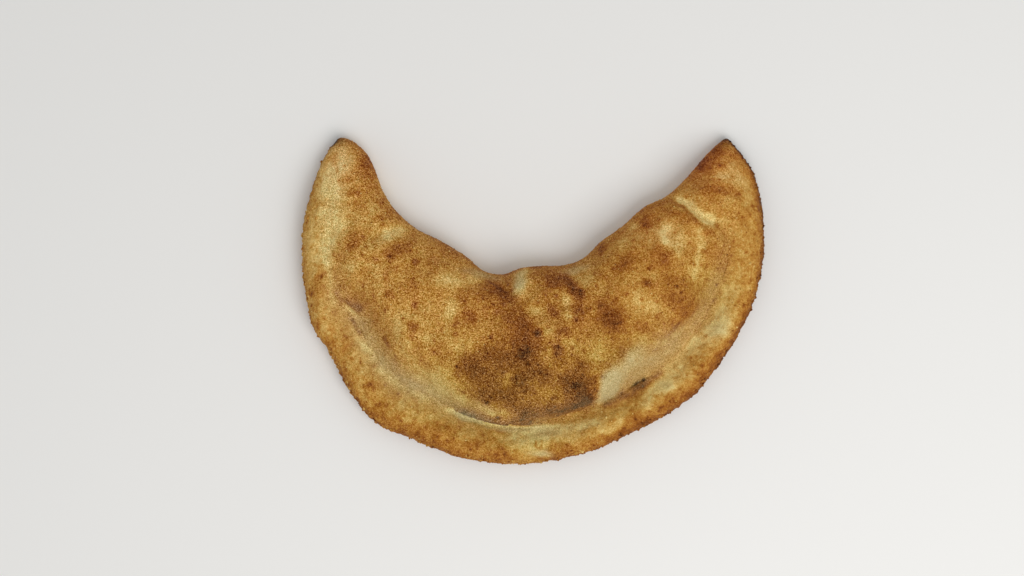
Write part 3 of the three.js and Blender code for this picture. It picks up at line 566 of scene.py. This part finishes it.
def closed_curve(points):
    """Places on the smooth closed curve through the points, and how far along it each lies."""
    here = np.array(points, float)
    before, after, beyond = (np.roll(here, shift, axis=0) for shift in (1, -1, -2))
    w = (np.arange(CURVE_STEPS) / CURVE_STEPS)[None, :, None]
    leaving, arriving = (after - before)[:, None] / 2, (beyond - here)[:, None] / 2
    ends = (2 * w**3 - 3 * w**2 + 1) * here[:, None] + (3 * w**2 - 2 * w**3) * after[:, None]
    curve = (ends + (w**3 - 2 * w**2 + w) * leaving + (w**3 - w**2) * arriving).reshape(-1, 2)
    curve = np.vstack([curve, curve[:1]])
    return curve, np.r_[0, np.cumsum(np.linalg.norm(np.diff(curve, axis=0), axis=1))]


def outline(s):
    """The outer edge and the fold at each share s of the way from the left tip to the right one."""
    outer = [LEFT_TIP, LEFT_SHOULDER, *map(outer_edge, ARC_DEGREES), RIGHT_SHOULDER]
    curve, length = closed_curve([*outer, RIGHT_TIP, *FOLD])
    total, outer_length = length[-1], length[len(outer) * CURVE_STEPS]

    def at(distance):
        return np.stack([np.interp(distance, length, curve[:, axis]) for axis in (0, 1)], axis=-1)

    return at(outer_length * s), at(total - (total - outer_length) * s)


def sections(s):
    """The sizes of the section at each share s, as columns, like the solid's."""
    outer, fold = outline(s)
    degrees = np.degrees(np.arctan2(outer[:, 1] - HUB[1], outer[:, 0] - HUB[0]))
    degrees = np.where(degrees < 90, degrees + 360, degrees)
    ripple = unevenness(degrees, *EDGE_RIPPLE) * np.sin(math.pi * s)
    across = outer - fold
    outer = outer + across / np.linalg.norm(across, axis=1)[:, None] * ripple[:, None]
    width = np.linalg.norm(outer - fold, axis=1)
    swell = 1 - np.exp(-((width / CROWN_WIDTH) ** CROWN_POWER))
    crown = quarter_round(width / TIP_ROUND) * mix(TIP_HEIGHT, CROWN_HEIGHT, swell)
    full_rim = RIM_HEIGHT + unevenness(degrees, *RIM_LUMPS)
    rim = np.minimum(crown, mix(TIP_HEIGHT, full_rim, 1 - np.exp(-width / RIM_GROWTH)))
    crease = np.minimum(along_rim(CREASE_INSET, degrees), MOST_OF_WIDTH.crease * width)
    slopes = FOLD_RADIUS + along_rim(SHOULDER_WIDTH, degrees)
    fit = np.minimum(1, MOST_OF_WIDTH.slopes * (width - crease) / slopes)
    sizes = {
        "degrees": degrees,
        "width": width,
        "crown": crown,
        "rim": rim,
        "crease": crease,
        "rim_round": RIM_ROUND * crease,
        "valley": mix(rim, np.minimum(VALLEY_HEIGHT, rim), along_rim(CREASE_DEPTH, degrees)),
        "fold_radius": FOLD_RADIUS * fit,
        "shoulder": along_rim(SHOULDER_WIDTH, degrees) * fit,
        "sharpness": along_rim(SHOULDER_SHARPNESS, degrees),
        "together": along_rim(RUN_TOGETHER, degrees),
        "horn_radius": np.minimum(HORN_RADIUS, MOST_OF_WIDTH.horn * width),
        "fold_girth": np.minimum(GIRTH_MAX, GIRTH * crown),
        "rim_girth": np.minimum(GIRTH_MAX, GIRTH * rim),
        "under_fold": np.minimum(UNDER_FOLD, MOST_OF_WIDTH.under_fold * width),
        "under_rim": np.minimum(UNDER_RIM, MOST_OF_WIDTH.under_rim * width),
    }
    return SimpleNamespace(outer=outer, fold=fold, **{name: value[:, None] for name, value in sizes.items()})


def top_height(cut, from_fold):
    """The height of the top at a distance from the fold, before the relief."""
    from_edge = cut.width - from_fold
    from_crease = from_edge - cut.crease
    rise = np.clip(from_crease / cut.shoulder, 0, 1)
    wall = mix(smooth(rise), quarter_round(rise), cut.sharpness)
    from_middle = 2 * from_fold / (cut.width - cut.crease) - 1
    body = mix(cut.valley, cut.crown * (1 - CAMBER * from_middle**2), wall)
    falling = np.clip((from_edge - cut.rim_round) / (cut.crease - cut.rim_round), 0, 1)
    rounded = quarter_round(from_edge / cut.rim_round)
    rim = mix(mix(cut.rim_girth, cut.rim, rounded), cut.valley, smooth(falling))
    two_forms = np.where(from_crease > 0, body, rim)
    plain_roll = mix(cut.rim_girth, cut.crown, quarter_round(from_edge / cut.horn_radius))
    fold_share = mix(cut.fold_girth, cut.crown, quarter_round(from_fold / cut.fold_radius)) / cut.crown
    return fold_share * mix(two_forms, plain_roll, cut.together)


def relief(x, y):
    """The bumps and hollows that the solid has too."""
    z = blots(x, y, [(cx, cy, long, wide, rise, turn) for cx, cy, long, wide, turn, rise in RELIEF])
    for size, rise, turn, seed in DOUGH_LUMPS:
        along, across = turned(x, y, turn)
        z += rise * flat_noise(along / size, across / size, seed)
    return z


def ring_distances(cut):
    """How far from the fold each point of a ring lies, over the top and then under, with its height there."""
    turn = lambda steps: 1 - np.cos(np.pi / 2 * steps)
    share = lambda count: np.arange(count) / count
    crease = cut.width - cut.crease
    crest = cut.width - cut.rim_round
    top = np.hstack([
        cut.fold_radius * turn(share(STEPS.fold)),
        mix(cut.fold_radius, crease - cut.shoulder, share(STEPS.body)),
        crease - cut.shoulder * turn(1 - share(STEPS.shoulder)),
        mix(crease, crest, share(STEPS.lip)),
        cut.width - cut.rim_round * turn(1 - np.arange(STEPS.rim + 1) / STEPS.rim),
    ])
    curl = np.arange(1, STEPS.under + 1) / STEPS.under
    low = lambda girth, share: girth * (1 - np.sin(np.pi / 2 * share))
    flat = np.arange(1, STEPS.flat) / STEPS.flat
    under = np.hstack([
        cut.width - cut.under_rim * turn(curl),
        mix(cut.width - cut.under_rim, cut.under_fold, flat),
        cut.under_fold * turn(curl[::-1]),
    ])
    height = np.hstack([
        low(cut.rim_girth, curl),
        np.zeros((len(cut.width), len(flat))),
        low(top_height(cut, 0 * cut.width), curl[::-1]),
    ])
    return top, under, height


def make_surface():
    """The smooth loft as a grid of points, one row per station, with what the finish needs of each."""
    even = np.arange(1, STATIONS) / STATIONS
    cut = sections(mix(even, 0.5 - 0.5 * np.cos(np.pi * even), TIP_CROWDING))
    top, under, under_height = ring_distances(cut)
    from_fold = np.hstack([top, under])
    share = (from_fold / cut.width)[..., None]
    flat = mix(cut.fold[:, None], cut.outer[:, None], share)
    x, y = flat[..., 0], flat[..., 1]
    over = np.arange(from_fold.shape[1]) < top.shape[1]
    height = np.hstack([top_height(cut, top), under_height])
    from_edge = cut.width - from_fold
    inside = smoothstep(0, RELIEF_FADE, np.minimum(from_fold, from_edge))
    height = height + np.where(over, inside * relief(x, y), 0)
    return SimpleNamespace(
        points=np.stack([x, y, height], axis=-1),
        cut=cut,
        over=over,
        inside=np.where(over, inside, 0),
        underside=np.where(over, 0, 1 - smoothstep(*UNDERSIDE.below, height)),
        from_edge=np.where(over, from_edge, 0),
        from_crease=from_edge - cut.crease,
    )


def normals_of(points):
    """Outward directions on a grid whose rows are closed rings."""
    along = np.gradient(points, axis=0)
    round_ring = np.roll(points, -1, axis=1) - np.roll(points, 1, axis=1)
    normal = np.cross(along, round_ring)
    return normal / np.maximum(np.linalg.norm(normal, axis=-1), 1e-9)[..., None]


# ---- Fine relief ----
def flour_at(surface):
    """How floury each place is, from 0 to 1."""
    tables = FLOUR, FLOUR_INSET, FLOUR_WIDTH
    strength, inset, spread = (along_rim(table, surface.cut.degrees) for table in tables)
    band = strength * bell((surface.from_crease - inset) / spread)
    patches = blots(*wobbled(surface.points), FLOUR_PATCHES, FLOUR_SHARPNESS)
    cloudy = 1 + layered(surface.points, FLOUR_CLOUDS)
    return np.clip((band + patches) * cloudy, 0, 1) * surface.over


def scattered_bumps(surface, kind, likely):
    """Round bumps or pores at random places of the top, each with its own size."""
    rng = np.random.default_rng(kind.seed)
    points = surface.points
    rise = np.zeros(points.shape[:2])
    for place in zip(*pick_places(surface, likely, kind.count, rng)):
        radius, height = rng.uniform(*kind.radius), rng.uniform(*kind.rise)
        reach = tuple(slice(max(0, at - BUMP_REACH), at + BUMP_REACH + 1) for at in place)
        distance = np.linalg.norm(points[reach] - points[place], axis=-1)
        rise[reach] += height * np.exp(-((distance / radius) ** 2) * BUMP_FALL)
    return rise


def pick_places(surface, likely, count, rng):
    """Random grid places, as many per area as likely says."""
    points = surface.points
    along = np.linalg.norm(np.gradient(points, axis=0), axis=-1)
    across = np.linalg.norm(np.roll(points, -1, axis=1) - points, axis=-1)
    weight = (along * across * likely * surface.over).ravel()
    chosen = rng.choice(weight.size, count, p=weight / weight.sum())
    return np.unravel_index(chosen, points.shape[:2])


def fine_relief(surface, flour):
    """How far each point moves out along its normal."""
    points, cut, top = surface.points, surface.cut, surface.inside
    x, y = as_seen(points)
    rim = on_rim(surface, RIM_FADE.relief)
    out = layered(points, SKIN) * mix(SKIN_AT_EDGES, 1, top)
    out += layered(points, GRAIN) * mix(1, GRAIN_UNDER_FLOUR, flour)
    for kind in (BUBBLES, PORES):
        out += scattered_bumps(surface, kind, kind.off_rim + rim) * top
    lumps = space_noise(points, RIM_WEB.size, RIM_WEB.seed)
    out += RIM_WEB.lump * lumps * rim * top * along_rim(RIM_BLOTCHES, cut.degrees)
    out += drawn(x, y, DRAWN_RELIEF) + blots(x, y, VENT, VENT_SHARPNESS.relief)
    stretched = np.stack([
        cut.degrees * math.radians(EDGE_RADIUS) / STREAKS.across + 0 * x,
        surface.from_crease / STREAKS.along,
        0 * x,
    ], axis=-1)
    out += STREAKS.rise * space_noise(stretched, 1, STREAKS.seed) * flour
    out += layered(points, EDGE_CRUMBLE) * at_edge(surface, EDGE_CRUMBLE_DEPTH)
    return out * (1 - surface.underside) * smoothstep(*FINE_WIDTHS, cut.width)


# ---- Baked colours ----
def toast_with_painted_light_at(surface, flour):
    """How brown each place is baked, from 0 to about 1.1, with painted shade and painted light added."""
    points, cut = surface.points, surface.cut
    x, y = wobbled(points)
    rim = on_rim(surface, RIM_FADE.toast)
    toast = mix(BODY_TOAST, RIM_TOAST, rim) + mix(1, RIM_SPOTS, rim) * blots(x, y, BAKING, SPOT_SHARPNESS)
    toast += blots(x, y, BROAD_TONES) + layered(points, MOTTLING)
    toast = mix(toast, np.minimum(toast, MOST_UNDER_FLOUR), flour)
    toast += drawn(*as_seen(points), TONE_AND_PAINTED_LIGHT_LINES)
    toast += along_rim(OUTER_BROWNING_AND_SHADE, cut.degrees) * at_edge(surface, OUTER_BROWNING_AND_SHADE_DEPTH)
    toast += FOLD_DARKENING * bell((cut.width - surface.from_edge) / FOLD_DARKENING_DEPTH) * surface.over
    for cx, cy, radius, change in BROWN_RINGS:
        toast += change * bell((np.hypot(x - cx, y - cy) - radius) / RING_HALF_WIDTH)
    blotchy = along_rim(RIM_BLOTCHES, cut.degrees) * rim
    blotch = layered(points, BLOTCH.layers)
    lumps = space_noise(points, RIM_WEB.size, RIM_WEB.seed)
    toast += blotchy * BLOTCH.change * smoothstep(*BLOTCH.edge, blotch)
    toast += blotchy * BLOTCH.pale * smoothstep(*BLOTCH.edge, -blotch)
    toast += blotchy * RIM_WEB.change * bell((lumps - RIM_WEB.line_at) / RIM_WEB.line)
    toast += blotchy * RIM_WEB.pale * smoothstep(*RIM_WEB.pale_from, lumps)
    toast += scattered_bumps(surface, BODY_FRECKLES, (1 - rim) * surface.inside * (1 - flour))
    toast += scattered_bumps(surface, RIM_FRECKLES, blotchy)
    low = 1 - smoothstep(*FOOT.heights, points[..., 2])
    toast += np.where(surface.from_crease > FOOT.fold_side * cut.width, -FOOT.change, FOOT.change) * low
    below = UNDERSIDE.toast + UNDERSIDE.mottling * layered(points, MOTTLING)
    return np.clip(mix(toast, below, surface.underside), *TOAST_RANGE)


def char_and_vent_shade_at(surface):
    """How burnt each place is, from 0 to 1, with painted shade in the vent's holes."""
    x, y = as_seen(surface.points)
    edge = along_rim(EDGE_SCORCH, surface.cut.degrees) * at_edge(surface, EDGE_SCORCH_DEPTH)
    ragged = 1 + layered(surface.points, SCORCH_CLOUDS)
    # painted shade in the vent's two holes, in the char colour
    vent = blots(x, y, [(*spot[:4], 1, spot[5]) for spot in VENT], VENT_SHARPNESS.char)
    return np.clip((edge + blots(x, y, BURNT_TIPS)) * ragged + vent, 0, 1)


def grit_at(surface, flour):
    """How sandy each place looks: most on the left and in the middle, least on the rim and the flour."""
    right = smoothstep(*GRIT.right_from, surface.points[..., 0])
    grit = mix(GRIT.body, GRIT.right, right) * mix(1, GRIT.rim, on_rim(surface, RIM_FADE.grit))
    return np.minimum(grit, mix(1, GRIT.flour, flour))


# ---- Meshes ----
def placed(name, data):
    """A new object in the scene."""
    made = bpy.data.objects.new(name, data)
    bpy.context.scene.collection.objects.link(made)
    return made


def make_mesh(name, points, faces, values, uv):
    """A smooth mesh in metres, with values of each kind at its points and the corners' places on the map."""
    mesh = bpy.data.meshes.new(name)
    mesh.vertices.add(len(points))
    mesh.vertices.foreach_set("co", (points * MM).astype(np.float32).ravel())
    sizes = np.concatenate([np.full(len(group), group.shape[1]) for group in faces])
    corners = np.concatenate([group.ravel() for group in faces]).astype(np.int32)
    mesh.loops.add(len(corners))
    mesh.polygons.add(len(sizes))
    mesh.polygons.foreach_set("loop_start", (np.cumsum(sizes) - sizes).astype(np.int32))
    mesh.polygons.foreach_set("vertices", corners)
    mesh.polygons.foreach_set("use_smooth", np.ones(len(sizes), bool))
    mesh.update(calc_edges=True)
    for kind, value in values.items():
        layer = mesh.attributes.new(kind, "FLOAT", "POINT")
        layer.data.foreach_set("value", value.astype(np.float32).ravel())
    mesh.uv_layers.new(name="OFBake").uv.foreach_set("vector", uv.astype(np.float32).ravel())
    return placed(name, mesh)


def crust_faces(surface):
    """Quads between the rings and a fan at each tip, and each corner's place on the square map, which has the
    left half of the crust below and the right half above. The tips' points come last."""
    rows, columns = surface.points.shape[:2]
    tips, half = rows * columns, rows // 2
    row, column = np.indices((rows - 1, columns)).reshape(2, -1, 1)
    here = np.arange(columns)[:, None]
    corners = [
        (row + [0, 0, 1, 1], column + [0, 1, 1, 0]),
        (0 * here + [-1, 0, 0], here + [0, 1, 0]),
        (0 * here + [rows, rows - 1, rows - 1], here + [0, 0, 1]),
    ]
    step = np.linalg.norm(np.roll(surface.points, -1, axis=1) - surface.points, axis=-1).mean(axis=0)
    step = step * np.where(surface.underside.mean(axis=0) > 0.5, UNDERSIDE_ON_MAP, 1)
    up = np.r_[0, np.cumsum(step)] / step.sum()
    faces, places = [], []
    for row, column in corners:
        faces.append(np.select([row < 0, row == rows], [tips, tips + 1], row * columns + column % columns))
        upper = row[:, :1] >= half
        u = np.where(upper, (row - half) / (rows - half), (row + 1) / (half + 1))
        u, v = (mix(MAP_MARGIN, 1 - MAP_MARGIN, share) for share in (u, up[column]))
        places.append(np.stack([u, (upper + v) / 2], axis=-1).reshape(-1, 2))
    return faces, np.vstack(places)


# ---- Material ----
def linear(colour):
    """An sRGB colour of 0 to 255 as Blender's linear one."""
    share = np.array(colour) / 255
    value = np.where(share <= 0.04045, share / 12.92, ((share + 0.055) / 1.055) ** 2.4)
    return (*value, 1)


def node(tree, kind, inputs=None, **settings):
    """Adds a node, and links or sets its inputs."""
    made = tree.nodes.new(kind)
    for name, value in settings.items():
        setattr(made, name, value)
    for socket, value in (inputs or {}).items():
        if isinstance(value, bpy.types.NodeSocket):
            tree.links.new(value, made.inputs[socket])
        else:
            made.inputs[socket].default_value = value
    return made


def maths(tree, operation, *values, kind="ShaderNodeMath"):
    return node(tree, kind, dict(enumerate(values)), operation=operation).outputs[0]


def grain_noise(tree, place, size, detail=0, roughness=0.5):
    """Noise about 0 with features of a size in millimetres."""
    settings = {"Vector": place, "Scale": 1 / (size * MM), "Detail": detail, "Roughness": roughness}
    return maths(tree, "SUBTRACT", node(tree, "ShaderNodeTexNoise", settings).outputs["Fac"], 0.5)


def blended(tree, share, a, b):
    return node(tree, "ShaderNodeMix", {0: share, 6: a, 7: b}, data_type="RGBA").outputs[2]


def to_gamma(tree, colour, gamma):
    return node(tree, "ShaderNodeGamma", {"Color": colour, "Gamma": gamma}).outputs["Color"]


def crust_material():
    material = bpy.data.materials.new("baked_crust")
    material.use_nodes = True
    tree = material.node_tree
    tree.nodes.clear()
    place = node(tree, "ShaderNodeTexCoord").outputs["Object"]
    toast, flour, char, grit, olive = (
        node(tree, "ShaderNodeAttribute", attribute_name=kind).outputs["Fac"] for kind in TIP_VALUES
    )

    uneven = 0.0
    for size, detail, roughness, change in SHADE_NOISE:
        noise = grain_noise(tree, place, size, detail, roughness)
        uneven = maths(tree, "MULTIPLY_ADD", noise, change, uneven)
    plain = maths(tree, "MULTIPLY_ADD", flour, -SHADE_LOST, 1.0)
    shade = maths(tree, "MULTIPLY_ADD", uneven, plain, toast)

    most = DOUGH_COLOURS[-1][0]
    ramp = node(tree, "ShaderNodeValToRGB", {0: maths(tree, "DIVIDE", shade, most)})
    stops = ramp.color_ramp.elements
    while len(stops) < len(DOUGH_COLOURS):
        stops.new(0.5)
    for stop, (at, colour) in zip(stops, DOUGH_COLOURS):
        stop.position = at / most
        stop.color = linear(colour)
    floury = maths(tree, "MULTIPLY", flour, FLOUR_COVER)
    dusted = blended(tree, floury, ramp.outputs["Color"], linear(FLOUR_COLOUR))
    burnt = blended(tree, char, dusted, linear(CHAR_COLOUR))

    # the grains are lighter and the gaps between them darker with painted shade, by about the same step in
    # every channel as it is displayed
    coarse, fine = (grain_noise(tree, place, size) for size in SAND_SIZES)
    grains = maths(tree, "MULTIPLY_ADD", coarse, COARSE_SHARE, fine)
    sand = maths(tree, "MULTIPLY", grains, maths(tree, "MULTIPLY", grit, GRIT_CONTRAST))
    colour, vector = to_gamma(tree, burnt, 1 / DISPLAY_GAMMA), "ShaderNodeVectorMath"
    colour = maths(tree, "MULTIPLY_ADD", olive, OLIVE_SHIFT, colour, kind=vector)
    colour = maths(tree, "ADD", colour, sand, kind=vector)
    colour = maths(tree, "MAXIMUM", colour, (DARKEST_GAP,) * 3, kind=vector)

    relief = {"Strength": FINISH.bump, "Distance": FINISH.bump_depth * MM, "Height": grains}
    shader = node(tree, "ShaderNodeBsdfPrincipled", {
        "Base Color": to_gamma(tree, colour, DISPLAY_GAMMA),
        "Roughness": maths(tree, "MULTIPLY_ADD", flour, FINISH.floury, FINISH.roughness),
        "Specular IOR Level": FINISH.specular,
        "Normal": node(tree, "ShaderNodeBump", relief).outputs["Normal"],
    })
    output = node(tree, "ShaderNodeOutputMaterial", {"Surface": shader.outputs["BSDF"]})
    output.is_active_output = True
    return material


# ---- Grains and crumbs ----
def ball(subdivisions):
    """The points and triangles of a round ball of radius 1."""
    shape = bmesh.new()
    bmesh.ops.create_icosphere(shape, subdivisions=subdivisions, radius=1)
    points = np.array([v.co[:] for v in shape.verts])
    faces = np.array([[v.index for v in f.verts] for f in shape.faces])
    shape.free()
    return points, faces


def random_turns(count, rng):
    """Random rotation matrices, from random unit quaternions."""
    turn = rng.normal(size=(4, count))
    w, x, y, z = turn / np.linalg.norm(turn, axis=0)
    return np.array([
        [1 - 2 * (y * y + z * z), 2 * (x * y - z * w), 2 * (x * z + y * w)],
        [2 * (x * y + z * w), 1 - 2 * (x * x + z * z), 2 * (y * z - x * w)],
        [2 * (x * z - y * w), 2 * (y * z + x * w), 1 - 2 * (x * x + y * y)],
    ])


def scatter(name, kind, surface, points, normals, values, likely):
    """Many small lumps stuck to the surface, joined in one mesh."""
    rng = np.random.default_rng(kind.seed)
    places = pick_places(surface, likely, kind.count, rng)
    radius = rng.uniform(*kind.radius, kind.count)[:, None]
    shape, triangles = ball(kind.subdivisions)
    lump = shape * rng.uniform(*LUMP.uneven, (kind.count, len(shape), 1))
    lump = lump * rng.uniform(*LUMP.stretch, (kind.count, 1, 3)) * radius[:, None]
    lump = np.einsum("ijn,nvj->nvi", random_turns(kind.count, rng), lump)
    lump += (points[places] + normals[places] * (0.5 - kind.sunk) * radius)[:, None]
    here = {key: value[places] for key, value in values.items()}
    here["toast"] = np.clip(here["toast"] + rng.normal(*kind.toast, kind.count), *TOAST_RANGE)
    here["flour"] = here["flour"] * LUMP.flour
    here["grit"] = np.full(kind.count, LUMP.grit)
    per_point = {key: np.repeat(value, len(shape)) for key, value in here.items()}
    number = np.arange(kind.count)
    faces = (triangles + (number * len(shape))[:, None, None]).reshape(-1, 3)
    side = math.ceil(math.sqrt(kind.count))
    cell = np.stack([number % side, number // side], axis=-1)
    within = 0.5 + LUMP.on_map * shape[:, :2]
    uv = (cell[:, None, None] + within[triangles]) / side
    return make_mesh(name, lump.reshape(-1, 3), [faces], per_point, uv.reshape(-1, 2))


# ---- Stage ----
def make_stage(centring):
    """A pale floor, soft light from the lower right and all round, and the camera straight above."""
    scene = bpy.context.scene
    mesh = bpy.data.meshes.new("floor")
    half = FLOOR_SIZE / 2
    mesh.from_pydata([(-half, -half, 0), (half, -half, 0), (half, half, 0), (-half, half, 0)], [], [range(4)])
    floor = placed("floor", mesh)
    paint = bpy.data.materials.new("pale_floor")
    paint.use_nodes = True
    shader = paint.node_tree.nodes["Principled BSDF"]
    shader.inputs["Base Color"].default_value = linear(FLOOR_COLOUR)
    shader.inputs["Roughness"].default_value = FLOOR_ROUGHNESS
    mesh.materials.append(paint)

    scene.world = bpy.data.worlds.new("soft_room")
    scene.world.use_nodes = True
    sky = scene.world.node_tree.nodes["Background"]
    sky.inputs["Color"].default_value = (1, 1, 1, 1)
    sky.inputs["Strength"].default_value = ROOM_LIGHT
    light = bpy.data.lights.new("key", "AREA")
    light.energy, light.size = KEY_LIGHT.power, KEY_LIGHT.size
    lamp = placed("key", light)
    lamp.location = KEY_LIGHT.place
    lamp.rotation_euler = (-lamp.location).to_track_quat("-Z", "Y").to_euler()
    scene.view_settings.view_transform = "Standard"

    camera = bpy.data.cameras.new("camera")
    camera.sensor_width = SENSOR
    camera.lens = SENSOR * CAMERA_HEIGHT / (PICTURE_WIDTH * PIXEL)
    scene.camera = placed("camera", camera)
    x, y = np.array(CAMERA_PLACE) + centring
    scene.camera.location = Vector((x, y, CAMERA_HEIGHT + WIDEST_AT)) * MM


def main():
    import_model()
    surface = make_surface()
    low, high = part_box("calzone")
    middle = np.array([(low[axis] + high[axis]) / 2 / MM for axis in (0, 1)])
    spread = surface.points[..., :2]
    centring = middle - (spread.min(axis=(0, 1)) + spread.max(axis=(0, 1))) / 2
    move = np.array([*centring, 0])

    flour = flour_at(surface)
    normals = normals_of(surface.points)
    points = surface.points + normals * fine_relief(surface, flour)[..., None]
    points[..., 2] = np.maximum(points[..., 2], 0)
    values = {
        "toast": toast_with_painted_light_at(surface, flour),
        "flour": flour,
        "char": char_and_vent_shade_at(surface),
        "grit": grit_at(surface, flour),
        "olive": blots(*as_seen(surface.points), OLIVE_TONES) * (1 - flour),
    }
    tips = np.array([(*LEFT_TIP, TIP_POINT), (*RIGHT_TIP, TIP_POINT)])
    everywhere = np.vstack([points.reshape(-1, 3), tips]) + move
    with_tips = {kind: np.r_[value.ravel(), TIP_VALUES[kind]] for kind, value in values.items()}
    faces, uv = crust_faces(surface)
    crust = make_mesh("crust", everywhere, faces, with_tips, uv)

    finished = surface, points + move, normals_of(points), values
    rim = on_rim(surface, RIM_FADE.grit)
    sandy = mix(1, SEMOLINA.on_rim, rim) * mix(1, SEMOLINA.on_flour, flour)
    sandy = sandy * smoothstep(*SEMOLINA.from_width, surface.cut.width)
    semolina = scatter("semolina", SEMOLINA, *finished, sandy)
    crumbs = scatter("crumbs", CRUMBS, *finished, at_edge(surface, CRUMBS.edge_depth) + CRUMBS.on_rim * rim)

    material = crust_material()
    for piece in (crust, semolina, crumbs):
        piece.data.materials.append(material)
        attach(piece, "root")
    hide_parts("calzone")
    make_stage(centring)


main()
